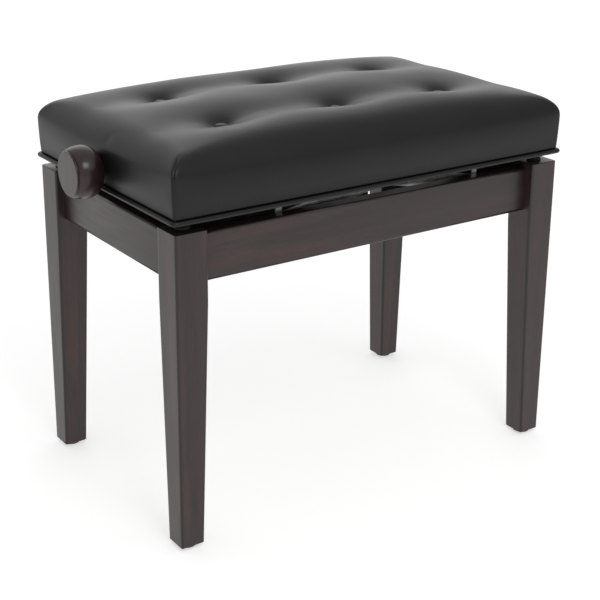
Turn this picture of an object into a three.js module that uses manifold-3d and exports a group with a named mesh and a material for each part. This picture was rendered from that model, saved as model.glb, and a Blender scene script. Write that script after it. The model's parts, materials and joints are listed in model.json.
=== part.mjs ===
// Adjustable piano bench: four tapered legs and aprons carry a pair of scissor arms,
// and a hand knob on a threaded rod spreads the arms to raise an upholstered seat.
// Millimetres, +X along the length (the knob is at -X), -Y the front, +Z up, floor at z = 0.
import * as THREE from "three";
import { mergeVertices } from "three/addons/utils/BufferGeometryUtils.js";
import Module from "manifold-3d";

const wasm = await Module();
wasm.setup();

// ---- driving dimensions -----------------------------------------------------------------
const GAP = 0.3; // clearance kept between touching pieces
const ARC = 6; // straight segments in a rounded end or corner
const ROUND = 28; // sides of a large round piece
const PIN_ROUND = 16; // sides of a pin

const FRAME_HALF_X = 270; // outer faces of the legs
const FRAME_HALF_Y = 163.5;
const LEG_TOP = 39; // square section of a leg above the taper
const LEG_FOOT = 29; // square section at the bottom of the taper
const LEG_HEIGHT = 371;
const LEG_TAPER_Z = 288; // the inner faces taper below this height
const LEG_EDGE = 1.6; // radius of a leg's long edges
const GLIDE_RADIUS = 11;
const GLIDE_HEIGHT = 4;

const APRON_BOTTOM = 309.5;
const APRON_TOP = 364.5;
const APRON_THICK = 18;
const APRON_EDGE = 2;
const APRON_RECESS_Y = 12.5; // front and rear aprons, behind the legs' outer faces
const APRON_RECESS_X = 10; // side aprons

const BUMPER_RADIUS = 9;
const BUMPER_HEIGHT = 4.5;

const SEAT_HALF_X = 271.2; // outer face of the cover's side walls
const SEAT_HALF_Y = 164.5;
const SEAT_CORNER = 4; // corner radius of the piping seen from above
const SEAT_FRAME_BOTTOM = 380.8;
const SEAT_FRAME_TOP = 426;
const SEAT_FRAME_THICK = 17;
const SEAT_BOARD_THICK = 8;
const COVER_THICK = 2.4;
const COVER_BOTTOM = 387.2;
const SHOULDER_Z = 449; // top of the cover at its edges, before the edge is rounded
const EDGE_ROUND = 9; // radius of the cover's top edge
const CROWN = 14; // rise of the padding above the shoulder
const TUFT_DEPTH = 15; // depth of a buttoned dimple below the crown
const TUFT_SPREAD = 21;
const TUFT_X = 156; // column spacing of the buttons
const TUFT_Y = 68.5; // distance of a button row from the middle
const BUTTON_RADIUS = 7.5;
const BUTTON_HEIGHT = 4;
const PIPING_RADIUS = 2.8;
const PIPING_Z = 383.8;
const PIPING_HALF_X = 271.9; // centre line of the piping cord
const PIPING_HALF_Y = 165.2;

const PIVOT_X = -120; // fixed pivots, on the base and under the seat
const BASE_PIVOT_Z = 352;
const ROD_Z = 404; // threaded rod, and the upper pivots, with the seat at its lowest
const ARM_LENGTH = 290; // between an arm's end pivots
const ARM_WIDTH = 18;
const ARM_THICK = 3;
const ARM_A_Y = -127.7; // middle of the front outer arm; the rear one mirrors it
const ARM_B_Y = -123.9; // middle of the front inner arm
const PIN_RADIUS = 4;
const HOLE_PLAY = 0.4; // radial play of a turning fit
const OPEN_PLAY = 1.2; // radial play where the linkage is left open
const ARM_SLIDE = 27; // how far the sliding ends travel over the whole lift

const LOWER_RAIL_Y = -131.45; // middle of the front rail's upright flange
const LOWER_RAIL_BOTTOM = 338;
const LOWER_RAIL_TOP = 362;
const LOWER_RAIL_FLANGE = 22;
const RAIL_THICK = 2.5;
const LOWER_RAIL_X = [-150, 180]; // ends of the rails on the aprons
const UPPER_RAIL_X = [-239, 239]; // ends of the rails under the seat
const TAB_WIDTH = 7.5;
const TAB_TOP = 370.6;
const TAB_X = [-122, 163];
const UPPER_RAIL_Y = -120.15; // middle of the front seat rail's upright flange
const UPPER_RAIL_BOTTOM = 358;
const UPPER_RAIL_FLANGE = 19;
const NOTCH_HALF = 10.5; // opening for the centre shaft in a seat rail's lower edge
const NOTCH_TOP = 388;
const CROSS_BAR_WIDTH = 26;
const CROSS_BAR_X = [-132, 160];
const END_PLATE_X = [-235, 235];

const ROD_RADIUS = 5;
const ROD_COLLAR_RADIUS = 9;
const NUT_SIZE = [24, 30, 22];
const KNOB_FACE_X = -311;
const KNOB_BACK_X = -275.3;

// ---- helpers ------------------------------------------------------------------------------
const bench = new THREE.Group();

const materials = {
  wood: { color: 0x3a2623, roughness: 0.42, metalness: 0 },
  block: { color: 0x6b4f3a, roughness: 0.7, metalness: 0 },
  plywood: { color: 0xb08d62, roughness: 0.75, metalness: 0 },
  foam: { color: 0xd8cfa8, roughness: 0.95, metalness: 0 },
  leather: { color: 0x141415, roughness: 0.45, metalness: 0 },
  rubber: { color: 0x0d0d0d, roughness: 0.8, metalness: 0 },
  zinc: { color: 0xb4b6b8, roughness: 0.35, metalness: 1 },
  dark_steel: { color: 0x26272a, roughness: 0.5, metalness: 0.8 },
};

// Adds a named piece to the bench.
function addPiece(name, geometry, material) {
  const mesh = new THREE.Mesh(geometry, new THREE.MeshStandardMaterial(materials[material]));
  mesh.name = name;
  bench.add(mesh);
  return mesh;
}

// A closed geometry as a manifold-3d solid.
function toSolid(geometry) {
  const bare = geometry.clone();
  bare.deleteAttribute("normal");
  bare.deleteAttribute("uv");
  const merged = mergeVertices(bare, 1e-4);
  const mesh = new wasm.Mesh({
    numProp: 3,
    vertProperties: merged.attributes.position.array,
    triVerts: new Uint32Array(merged.index.array),
  });
  return new wasm.Manifold(mesh);
}

// A manifold-3d solid as a three.js geometry.
function toGeometry(solid) {
  const mesh = solid.getMesh();
  const geometry = new THREE.BufferGeometry();
  const positions = new THREE.BufferAttribute(new Float32Array(mesh.vertProperties), 3);
  geometry.setAttribute("position", positions);
  geometry.setIndex(new THREE.BufferAttribute(new Uint32Array(mesh.triVerts), 1));
  geometry.computeVertexNormals();
  return geometry;
}

function join(...geometries) {
  return toGeometry(geometries.map(toSolid).reduce((sum, solid) => sum.add(solid)));
}

function cut(geometry, ...tools) {
  return toGeometry(tools.map(toSolid).reduce((rest, tool) => rest.subtract(tool), toSolid(geometry)));
}

// An axis-aligned block between two corners.
function block(low, high) {
  const size = high.map((value, i) => value - low[i]);
  const middle = high.map((value, i) => (value + low[i]) / 2);
  return new THREE.BoxGeometry(...size).translate(...middle);
}

// A rounded rectangle outline centred on the origin.
function roundedRectangle(halfX, halfY, radius) {
  const shape = new THREE.Shape();
  shape.moveTo(-halfX + radius, -halfY);
  shape.lineTo(halfX - radius, -halfY);
  shape.absarc(halfX - radius, -halfY + radius, radius, -Math.PI / 2, 0, false);
  shape.lineTo(halfX, halfY - radius);
  shape.absarc(halfX - radius, halfY - radius, radius, 0, Math.PI / 2, false);
  shape.lineTo(-halfX + radius, halfY);
  shape.absarc(-halfX + radius, halfY - radius, radius, Math.PI / 2, Math.PI, false);
  shape.lineTo(-halfX, -halfY + radius);
  shape.absarc(-halfX + radius, -halfY + radius, radius, Math.PI, Math.PI * 1.5, false);
  return shape;
}

function extrude(shape, depth, segments = ARC) {
  return new THREE.ExtrudeGeometry(shape, { depth, bevelEnabled: false, curveSegments: segments });
}

// A round bar along X, Y or Z between two positions on that axis.
function roundBar(axis, from, to, radius, centre, sides = PIN_ROUND) {
  const bar = new THREE.CylinderGeometry(radius, radius, to - from, sides);
  const middle = (from + to) / 2;
  if (axis === "x") {
    return bar.rotateZ(Math.PI / 2).translate(middle, centre[0], centre[1]);
  }
  if (axis === "z") {
    return bar.rotateX(Math.PI / 2).translate(centre[0], centre[1], middle);
  }
  return bar.translate(centre[0], middle, centre[1]);
}

// A turned piece: profile points are [radius, height], and the axis is +Z.
function turned(profile, sides = ROUND) {
  const points = profile.map(([radius, height]) => new THREE.Vector2(radius, height));
  return new THREE.LatheGeometry(points, sides).rotateX(Math.PI / 2);
}

// A strip with round ends along X, in the XZ plane, with its thickness along Y.
function roundEndedStrip(x0, x1, z, halfWidth, yMiddle, thick, segments = ARC) {
  const shape = new THREE.Shape();
  shape.absarc(x0, z, halfWidth, Math.PI / 2, Math.PI * 1.5, false);
  shape.absarc(x1, z, halfWidth, -Math.PI / 2, Math.PI / 2, false);
  return extrude(shape, thick, segments).rotateX(Math.PI / 2).translate(0, yMiddle + thick / 2, 0);
}

// ---- base -----------------------------------------------------------------------------------
const SIDES = [
  ["front", -1],
  ["rear", 1],
];
const ENDS = [
  ["left", -1],
  ["right", 1],
];

// A leg with its outer corner at the origin's -X -Y side; only the inner faces taper.
function legGeometry() {
  const half = LEG_TOP / 2;
  const section = roundedRectangle(half, half, LEG_EDGE);
  const upper = extrude(section, LEG_HEIGHT - LEG_TAPER_Z, 2).translate(0, 0, LEG_TAPER_Z);
  const lower = extrude(section, LEG_TAPER_Z - GLIDE_HEIGHT, 2).translate(0, 0, GLIDE_HEIGHT);
  const points = lower.attributes.position;
  const shrink = LEG_FOOT / LEG_TOP;
  for (let i = 0; i < points.count; i++) {
    if (points.getZ(i) < LEG_TAPER_Z - 1) {
      points.setX(i, -half + (points.getX(i) + half) * shrink);
      points.setY(i, -half + (points.getY(i) + half) * shrink);
    }
  }
  return join(upper, lower);
}

function addLegs() {
  const reachX = FRAME_HALF_X - LEG_TOP / 2;
  const reachY = FRAME_HALF_Y - LEG_TOP / 2;
  const corners = [
    ["front_left", -1, -1, 0],
    ["front_right", 1, -1, 1],
    ["rear_right", 1, 1, 2],
    ["rear_left", -1, 1, 3],
  ];
  const footInset = LEG_FOOT / 2;
  for (const [name, sx, sy, turns] of corners) {
    const leg = addPiece("leg_" + name, legGeometry(), "wood");
    leg.position.set(sx * reachX, sy * reachY, 0);
    leg.rotation.z = (turns * Math.PI) / 2;

    const glide = addPiece("glide_" + name, glideGeometry(), "rubber");
    glide.position.set(sx * (FRAME_HALF_X - footInset), sy * (FRAME_HALF_Y - footInset), 0);

    const bumper = addPiece("bumper_" + name, bumperGeometry(), "rubber");
    bumper.position.set(sx * reachX, sy * reachY, LEG_HEIGHT + GAP);
  }
}

function glideGeometry() {
  const top = GLIDE_HEIGHT - GAP;
  const chamfer = 1.2;
  return turned([
    [0, 0],
    [GLIDE_RADIUS - chamfer, 0],
    [GLIDE_RADIUS, chamfer],
    [GLIDE_RADIUS, top],
    [0, top],
  ]);
}

function bumperGeometry() {
  const r = BUMPER_RADIUS;
  const h = BUMPER_HEIGHT;
  return turned([
    [0, 0],
    [r, 0],
    [r, h * 0.55],
    [r * 0.88, h * 0.85],
    [r * 0.6, h],
    [0, h],
  ], PIN_ROUND + 4);
}

// A board along X with rounded long edges, centred on its section.
function boardAlongX(halfLength, thick, height, edge) {
  const section = roundedRectangle(height / 2, thick / 2, edge);
  return extrude(section, 2 * halfLength, 3).translate(0, 0, -halfLength).rotateY(-Math.PI / 2);
}

function addAprons() {
  const middleZ = (APRON_BOTTOM + APRON_TOP) / 2;
  const height = APRON_TOP - APRON_BOTTOM;
  const lengthX = FRAME_HALF_X - LEG_TOP - GAP;
  const lengthY = FRAME_HALF_Y - LEG_TOP - GAP;
  for (const [name, sign] of SIDES) {
    const apron = addPiece("apron_" + name, boardAlongX(lengthX, APRON_THICK, height, APRON_EDGE), "wood");
    apron.position.set(0, sign * (FRAME_HALF_Y - APRON_RECESS_Y - APRON_THICK / 2), middleZ);
  }
  for (const [name, sign] of ENDS) {
    const apron = addPiece("apron_" + name, boardAlongX(lengthY, APRON_THICK, height, APRON_EDGE), "wood");
    apron.position.set(sign * (FRAME_HALF_X - APRON_RECESS_X - APRON_THICK / 2), 0, middleZ);
    apron.rotation.z = Math.PI / 2;
  }
}

// Diagonal blocks glued across the inside corners, clear of the legs.
function addCornerBlocks() {
  const innerX = FRAME_HALF_X - APRON_RECESS_X - APRON_THICK - GAP;
  const innerY = FRAME_HALF_Y - APRON_RECESS_Y - APRON_THICK - GAP;
  const alongFront = [38, 60]; // distances of the block's corners from the side apron
  const alongSide = [30, 47.4]; // distances from the front apron
  const low = APRON_BOTTOM + 6;
  const height = 36;
  for (const [yName, sy] of SIDES) {
    for (const [xName, sx] of ENDS) {
      const corners = [
        [sx * (innerX - alongFront[0]), sy * innerY],
        [sx * (innerX - alongFront[1]), sy * innerY],
        [sx * innerX, sy * (innerY - alongSide[1])],
        [sx * innerX, sy * (innerY - alongSide[0])],
      ];
      const shape = new THREE.Shape(corners.map(([x, y]) => new THREE.Vector2(x, y)));
      const brace = extrude(shape, height).translate(0, 0, low);
      addPiece("corner_block_" + yName + "_" + xName, brace, "block");
    }
  }
}

// ---- scissor mechanism, base side ----------------------------------------------------------
const REST_RISE = ROD_Z - BASE_PIVOT_Z;
const REST_REACH = Math.sqrt(ARM_LENGTH ** 2 - REST_RISE ** 2);
const SLIDE_X = PIVOT_X + REST_REACH; // the sliding ends with the seat at its lowest
const CENTRE_X = PIVOT_X + REST_REACH / 2;
const CENTRE_Z = (BASE_PIVOT_Z + ROD_Z) / 2;

// A rail's upright flange in the XZ plane.
function uprightFlange(y, ends, low, high) {
  return block([ends[0], y - RAIL_THICK / 2, low], [ends[1], y + RAIL_THICK / 2, high]);
}

// The angle rails on the front and rear aprons: a pivot hole, a slot, and two upstanding tabs.
function addLowerRails() {
  const deep = 10;
  for (const [name, sign] of SIDES) {
    const y = -sign * LOWER_RAIL_Y;
    const outer = y + (sign * RAIL_THICK) / 2;
    const inner = outer - sign * LOWER_RAIL_FLANGE;
    const ledge = block(
      [LOWER_RAIL_X[0], Math.min(outer, inner), LOWER_RAIL_BOTTOM],
      [LOWER_RAIL_X[1], Math.max(outer, inner), LOWER_RAIL_BOTTOM + RAIL_THICK],
    );
    const tabs = TAB_X.map((x) =>
      block(
        [x - TAB_WIDTH / 2, y - RAIL_THICK / 2, LOWER_RAIL_TOP - 4],
        [x + TAB_WIDTH / 2, y + RAIL_THICK / 2, TAB_TOP],
      ),
    );
    const upright = uprightFlange(y, LOWER_RAIL_X, LOWER_RAIL_BOTTOM, LOWER_RAIL_TOP);
    const rail = join(upright, ledge, ...tabs);
    const pivot = [PIVOT_X, BASE_PIVOT_Z];
    const pivotHole = roundBar("y", y - deep, y + deep, PIN_RADIUS + HOLE_PLAY, pivot, ROUND);
    const slotHalf = PIN_RADIUS + HOLE_PLAY + 0.3;
    const slot = roundEndedStrip(SLIDE_X - ARM_SLIDE - 2, SLIDE_X + 2, BASE_PIVOT_Z, slotHalf, y, 2 * deep);
    addPiece("lower_rail_" + name, cut(rail, pivotHole, slot), "zinc");
  }
  CROSS_BAR_X.forEach((x, i) => {
    const top = LOWER_RAIL_BOTTOM - GAP;
    const reach = -LOWER_RAIL_Y - 2;
    const bar = block(
      [x - CROSS_BAR_WIDTH / 2, -reach, top - RAIL_THICK],
      [x + CROSS_BAR_WIDTH / 2, reach, top],
    );
    addPiece("lower_cross_" + ENDS[i][0], bar, "zinc");
  });
}

// ---- scissor arms ------------------------------------------------------------------------------
// An arm is a flat strip, made level at the origin with its lower pivot at x = 0, then turned.
function armGeometry(y, holePlays) {
  const strip = roundEndedStrip(0, ARM_LENGTH, 0, ARM_WIDTH / 2, 0, ARM_THICK);
  const deep = 10;
  const holes = holePlays.map((play, i) =>
    roundBar("y", -deep, deep, PIN_RADIUS + play, [(i * ARM_LENGTH) / 2, 0], PIN_ROUND),
  );
  return cut(strip, ...holes).translate(0, y, 0);
}

function addArms() {
  const slope = Math.asin(REST_RISE / ARM_LENGTH);
  for (const [name, sign] of SIDES) {
    const armA = addPiece("arm_outer_" + name, armGeometry(-sign * ARM_A_Y, [GAP, GAP, HOLE_PLAY]), "zinc");
    armA.position.set(PIVOT_X, 0, BASE_PIVOT_Z);
    armA.rotation.y = -slope;

    const armB = addPiece("arm_inner_" + name, armGeometry(-sign * ARM_B_Y, [GAP, HOLE_PLAY, GAP]), "zinc");
    armB.position.set(PIVOT_X, 0, ROD_Z);
    armB.rotation.y = slope;
  }
  const pinEnd = -LOWER_RAIL_Y + RAIL_THICK / 2 - 0.4;
  const outerEnd = -ARM_A_Y + ARM_THICK / 2 + 0.8;
  addPiece("pivot_shaft", roundBar("y", -pinEnd, pinEnd, PIN_RADIUS, [PIVOT_X, BASE_PIVOT_Z]), "zinc");
  addPiece("roller_shaft", roundBar("y", -pinEnd, pinEnd, PIN_RADIUS, [SLIDE_X, BASE_PIVOT_Z]), "zinc");
  addPiece("centre_shaft", roundBar("y", -outerEnd, outerEnd, PIN_RADIUS, [CENTRE_X, CENTRE_Z]), "zinc");
  const stubFrom = -ARM_B_Y + ARM_THICK / 2 + 0.4;
  const stubTo = -UPPER_RAIL_Y - RAIL_THICK / 2 - 4;
  for (const [name, sign] of SIDES) {
    const ends = [sign * stubFrom, sign * stubTo].sort((a, b) => a - b);
    addPiece("upper_pin_" + name, roundBar("y", ...ends, PIN_RADIUS, [PIVOT_X, ROD_Z]), "zinc");
  }
}

// The traveller: a nut on the threaded rod with a round bar on each side, through the outer arms.
function addTraveller() {
  const [sizeX, sizeY, sizeZ] = NUT_SIZE;
  const nut = block(
    [SLIDE_X - sizeX / 2, -sizeY / 2, ROD_Z - sizeZ / 2],
    [SLIDE_X + sizeX / 2, sizeY / 2, ROD_Z + sizeZ / 2],
  );
  const bore = roundBar("x", SLIDE_X - sizeX, SLIDE_X + sizeX, ROD_RADIUS + OPEN_PLAY, [0, ROD_Z], ROUND);
  addPiece("traveller_nut", cut(nut, bore), "zinc");
  for (const [name, sign] of SIDES) {
    const near = sizeY / 2 + GAP;
    const far = -ARM_A_Y + ARM_THICK / 2 + 0.8;
    const ends = [sign * near, sign * far].sort((a, b) => a - b);
    addPiece("traveller_bar_" + name, roundBar("y", ...ends, PIN_RADIUS, [SLIDE_X, ROD_Z]), "zinc");
  }
}

// ---- seat ------------------------------------------------------------------------------------------
function addSeatFrame() {
  const outerX = SEAT_HALF_X - COVER_THICK - GAP;
  const outerY = SEAT_HALF_Y - COVER_THICK - GAP;
  const innerX = outerX - SEAT_FRAME_THICK;
  const innerY = outerY - SEAT_FRAME_THICK;
  for (const [name, sign] of SIDES) {
    const ends = [sign * innerY, sign * outerY].sort((a, b) => a - b);
    const board = block([-outerX, ends[0], SEAT_FRAME_BOTTOM], [outerX, ends[1], SEAT_FRAME_TOP]);
    addPiece("seat_frame_" + name, board, "plywood");
  }
  for (const [name, sign] of ENDS) {
    const ends = [sign * innerX, sign * outerX].sort((a, b) => a - b);
    const reach = innerY - GAP;
    let board = block([ends[0], -reach, SEAT_FRAME_BOTTOM], [ends[1], reach, SEAT_FRAME_TOP]);
    if (sign < 0) {
      board = cut(board, rodHole(-outerX - 5, -innerX + 5));
    }
    addPiece("seat_frame_" + name, board, "plywood");
  }
  const boardLow = SEAT_FRAME_TOP + GAP;
  const seatBoard = block([-outerX, -outerY, boardLow], [outerX, outerY, boardLow + SEAT_BOARD_THICK]);
  addPiece("seat_board", seatBoard, "plywood");
}

// The hole that the rod passes through at the knob's end.
function rodHole(x0, x1) {
  const play = 1.5;
  return roundBar("x", x0, x1, ROD_RADIUS + play, [0, ROD_Z], ROUND);
}

// Height of the padding's upper surface above the shoulder, by formula: a crown that falls to
// a rounded edge, with a soft dimple at each button.
function paddingRise(x, y, halfX, halfY) {
  const u = x / halfX;
  const v = y / halfY;
  const crown = CROWN * (1 - Math.abs(u) ** 5) * (1 - Math.abs(v) ** 4);
  const inward = Math.min(halfX - Math.abs(x), halfY - Math.abs(y));
  const bend = Math.max(0, EDGE_ROUND - inward);
  const drop = EDGE_ROUND - Math.sqrt(Math.max(0, EDGE_ROUND ** 2 - bend ** 2));
  let dimples = 0;
  for (const cx of [-TUFT_X, 0, TUFT_X]) {
    for (const cy of [-TUFT_Y, TUFT_Y]) {
      const r2 = (x - cx) ** 2 + (y - cy) ** 2;
      dimples += TUFT_DEPTH * Math.exp(-r2 / (2 * TUFT_SPREAD ** 2));
    }
  }
  return crown - drop - dimples;
}

// Grid lines of the padding, from the middle to just inside the edge, closer at the buttons.
const GRID_X = [0, 20, 50, 78, 106, 136, 156, 176, 214, 252, 266];
const GRID_Y = [0, 24, 48, 68.5, 89, 124, 158];

// A padded block: straight sides under the crowned and dimpled top.
function paddedBlock(halfX, halfY, low, shoulder) {
  const linesX = [...GRID_X, halfX];
  const linesY = [...GRID_Y, halfY];
  const cellsX = linesX.length - 1;
  const cellsY = linesY.length - 1;
  const body = new THREE.BoxGeometry(2, 2, 1, 2 * cellsX, 2 * cellsY, 1);
  const points = body.attributes.position;
  const place = (value, lines) => Math.sign(value) * lines[Math.round(Math.abs(value) * (lines.length - 1))];
  for (let i = 0; i < points.count; i++) {
    const x = place(points.getX(i), linesX);
    const y = place(points.getY(i), linesY);
    const isTop = points.getZ(i) > 0;
    points.setXYZ(i, x, y, isTop ? shoulder + paddingRise(x, y, halfX, halfY) : low);
  }
  return body;
}

function addPadding() {
  const innerX = SEAT_HALF_X - COVER_THICK;
  const innerY = SEAT_HALF_Y - COVER_THICK;
  const outer = paddedBlock(SEAT_HALF_X, SEAT_HALF_Y, COVER_BOTTOM, SHOULDER_Z);
  const inner = paddedBlock(innerX, innerY, COVER_BOTTOM - 5, SHOULDER_Z - COVER_THICK);
  addPiece("seat_cover", cut(outer, inner, rodHole(-SEAT_HALF_X - 5, -innerX + 5)), "leather");

  const foamLow = SEAT_FRAME_TOP + SEAT_BOARD_THICK + 2 * GAP;
  const foamTop = SHOULDER_Z - COVER_THICK - 3 * GAP;
  const foamX = innerX - GAP;
  const foamY = innerY - GAP;
  const below = block([-foamX - 5, -foamY - 5, foamLow - 10], [foamX + 5, foamY + 5, foamLow]);
  addPiece("seat_foam", cut(paddedBlock(foamX, foamY, foamLow - 1, foamTop), below), "foam");
}

function addButtons() {
  const names = ["left", "middle", "right"];
  const lift = 2.4; // clears the cover's facets round the dimple
  const r = BUTTON_RADIUS;
  const h = BUTTON_HEIGHT;
  for (const [rowName, sy] of SIDES) {
    names.forEach((columnName, i) => {
      const x = (i - 1) * TUFT_X;
      const y = sy * TUFT_Y;
      const base = SHOULDER_Z + paddingRise(x, y, SEAT_HALF_X, SEAT_HALF_Y) + lift;
      const dome = turned([
        [0, 0.6],
        [r * 0.6, 0.6],
        [r, h * 0.45],
        [r * 0.9, h * 0.75],
        [r * 0.55, h * 0.95],
        [0, h],
      ], PIN_ROUND);
      const button = addPiece("button_" + rowName + "_" + columnName, dome, "leather");
      button.position.set(x, y, base);
    });
  }
}

// The piping: a cord of round section sewn all round the cover's bottom edge.
function addPiping() {
  const half = 0.3; // half the width of the flat ring that the bevel rounds
  const ring = roundedRectangle(PIPING_HALF_X + half, PIPING_HALF_Y + half, SEAT_CORNER + half);
  ring.holes.push(roundedRectangle(PIPING_HALF_X - half, PIPING_HALF_Y - half, SEAT_CORNER - half));
  const bevel = PIPING_RADIUS - half;
  const cord = new THREE.ExtrudeGeometry(ring, {
    depth: 2 * half,
    bevelEnabled: true,
    bevelThickness: bevel,
    bevelSize: bevel,
    bevelSegments: 2,
    curveSegments: 4,
  });
  addPiece("seat_piping", cord.translate(0, 0, PIPING_Z - half), "leather");
}

// ---- scissor mechanism, seat side -------------------------------------------------------------
function addUpperRails() {
  const top = SEAT_FRAME_TOP - GAP;
  const deep = 10;
  for (const [name, sign] of SIDES) {
    const y = -sign * UPPER_RAIL_Y;
    const outer = y + (sign * RAIL_THICK) / 2;
    const inner = outer - sign * UPPER_RAIL_FLANGE;
    const ledge = block(
      [UPPER_RAIL_X[0], Math.min(outer, inner), top - RAIL_THICK],
      [UPPER_RAIL_X[1], Math.max(outer, inner), top],
    );
    const rail = join(uprightFlange(y, UPPER_RAIL_X, UPPER_RAIL_BOTTOM, top), ledge);
    const pinHole = roundBar("y", y - deep, y + deep, PIN_RADIUS + OPEN_PLAY, [PIVOT_X, ROD_Z], ROUND);
    const slotHalf = PIN_RADIUS + OPEN_PLAY;
    const slot = roundEndedStrip(SLIDE_X - ARM_SLIDE - 2, SLIDE_X + 2, ROD_Z, slotHalf, y, 2 * deep);
    const notchX = CENTRE_X - 2; // the shaft drifts a little to -X as it leaves the notch
    const notch = block(
      [notchX - NOTCH_HALF, y - deep, UPPER_RAIL_BOTTOM - 5],
      [notchX + NOTCH_HALF, y + deep, NOTCH_TOP],
    );
    addPiece("upper_rail_" + name, cut(rail, pinHole, slot, notch), "dark_steel");
  }
  const reach = -UPPER_RAIL_Y - RAIL_THICK / 2 - GAP;
  END_PLATE_X.forEach((x, i) => {
    const lowZ = UPPER_RAIL_BOTTOM + 1;
    const highZ = top - RAIL_THICK - GAP;
    const plate = block([x - RAIL_THICK / 2, -reach, lowZ], [x + RAIL_THICK / 2, reach, highZ]);
    const hole = roundBar("x", x - deep, x + deep, ROD_RADIUS + HOLE_PLAY, [0, ROD_Z], ROUND);
    addPiece("end_plate_" + ENDS[i][0], cut(plate, hole), "dark_steel");
  });
}

// The rod turns in the end plates and is held lengthways by a collar on each side of the left one.
function addRodAndKnob() {
  const plate = END_PLATE_X[0];
  const face = RAIL_THICK / 2 + 0.4;
  const collar = 4;
  const rodEnd = END_PLATE_X[1] + 6;
  const rod = turned([
    [0, KNOB_FACE_X + 14],
    [ROD_RADIUS, KNOB_FACE_X + 14],
    [ROD_RADIUS, plate - face - collar],
    [ROD_COLLAR_RADIUS, plate - face - collar],
    [ROD_COLLAR_RADIUS, plate - face],
    [ROD_RADIUS, plate - face],
    [ROD_RADIUS, plate + face],
    [ROD_COLLAR_RADIUS, plate + face],
    [ROD_COLLAR_RADIUS, plate + face + collar],
    [ROD_RADIUS, plate + face + collar],
    [ROD_RADIUS, rodEnd - 1],
    [ROD_RADIUS - 1, rodEnd],
    [0, rodEnd],
  ], PIN_ROUND).rotateY(Math.PI / 2);
  addPiece("threaded_rod", rod.translate(0, 0, ROD_Z), "zinc");

  const length = KNOB_BACK_X - KNOB_FACE_X;
  const bore = ROD_RADIUS + GAP;
  const knob = turned([
    [0, 0],
    [23.8, 0],
    [24.7, 0.8],
    [25.1, 3],
    [25.3, 4.4],
    [26.6, 5.2],
    [28.4, 9],
    [29.6, 13],
    [30.1, 17],
    [29.8, 21.5],
    [28.5, 26],
    [26, 30],
    [22.2, 33.6],
    [18, length],
    [bore, length],
    [bore, 13.5],
    [0, 13.5],
  ], 36).rotateY(Math.PI / 2);
  addPiece("knob", knob.translate(KNOB_FACE_X, 0, ROD_Z), "wood");
}

addLegs();
addAprons();
addCornerBlocks();
addLowerRails();
addArms();
addTraveller();
addSeatFrame();
addPadding();
addButtons();
addPiping();
addUpperRails();
addRodAndKnob();

// The origin is on the floor, midway between the knob's face and the far end of the piping.
const farEnd = PIPING_HALF_X + PIPING_RADIUS;
bench.position.x = -(KNOB_FACE_X + farEnd) / 2;

const root = new THREE.Group();
root.add(bench);

export default root;
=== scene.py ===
"""The looks of an adjustable piano bench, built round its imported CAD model.

Metres, in the model's own frame: +X along the bench with the knob at -X, -Y the front, +Z up.
"""

import json
import math

import bmesh
import bpy
import numpy as np
from mathutils import Matrix, Vector


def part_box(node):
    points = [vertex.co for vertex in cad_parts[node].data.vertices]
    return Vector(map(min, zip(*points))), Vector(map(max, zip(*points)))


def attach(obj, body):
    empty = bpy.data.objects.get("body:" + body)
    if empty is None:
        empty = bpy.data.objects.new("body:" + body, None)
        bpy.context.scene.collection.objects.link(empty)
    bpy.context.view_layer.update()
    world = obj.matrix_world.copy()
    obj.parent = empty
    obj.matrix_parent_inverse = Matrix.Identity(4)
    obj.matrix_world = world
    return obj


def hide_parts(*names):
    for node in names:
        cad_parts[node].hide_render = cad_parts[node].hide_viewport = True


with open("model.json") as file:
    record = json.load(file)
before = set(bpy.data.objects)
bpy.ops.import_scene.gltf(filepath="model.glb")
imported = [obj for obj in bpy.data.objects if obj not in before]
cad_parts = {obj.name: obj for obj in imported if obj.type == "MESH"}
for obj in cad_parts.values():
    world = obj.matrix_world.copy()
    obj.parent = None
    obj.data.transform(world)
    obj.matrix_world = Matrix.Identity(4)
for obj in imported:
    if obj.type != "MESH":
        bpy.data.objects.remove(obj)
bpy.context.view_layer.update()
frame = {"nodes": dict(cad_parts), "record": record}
SCENE = bpy.context.scene
MM = 0.001

CORNERS = {
    "front_left": (-1, -1),
    "front_right": (1, -1),
    "rear_right": (1, 1),
    "rear_left": (-1, 1),
}
SIDES = {"front": -1, "rear": 1}
ENDS = {"left": -1, "right": 1}
BODY_OF = {
    node: body
    for body, nodes in frame["record"]["behaviour"]["bodies"].items()
    for node in nodes
}


# ---- node helpers ---------------------------------------------------------------------------
def add_node(tree, kind, inputs=None, **settings):
    """A node with its settings; an input is a value, or a socket to link from."""
    node = tree.nodes.new(kind)
    for key, value in settings.items():
        setattr(node, key, value)
    for key, value in (inputs or {}).items():
        if isinstance(value, bpy.types.NodeSocket):
            tree.links.new(value, node.inputs[key])
        else:
            node.inputs[key].default_value = value
    return node


def start_material(name, **sockets):
    """A new material and its tree and Principled shader, with constant sockets set directly."""
    material = bpy.data.materials.new(name)
    material.use_nodes = True
    tree = material.node_tree
    shader = tree.nodes["Principled BSDF"]
    for key, value in sockets.items():
        shader.inputs[key.replace("_", " ")].default_value = value
    return material, tree, shader


def object_space(tree, scale):
    coordinates = add_node(tree, "ShaderNodeTexCoord")
    inputs = {"Vector": coordinates.outputs["Object"], "Scale": scale}
    return add_node(tree, "ShaderNodeMapping", inputs).outputs["Vector"]


def noise(tree, vector, scale, detail=3.0, roughness=0.5, distortion=0.0):
    inputs = {
        "Vector": vector,
        "Scale": scale,
        "Detail": detail,
        "Roughness": roughness,
        "Distortion": distortion,
    }
    return add_node(tree, "ShaderNodeTexNoise", inputs).outputs["Fac"]


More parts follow.
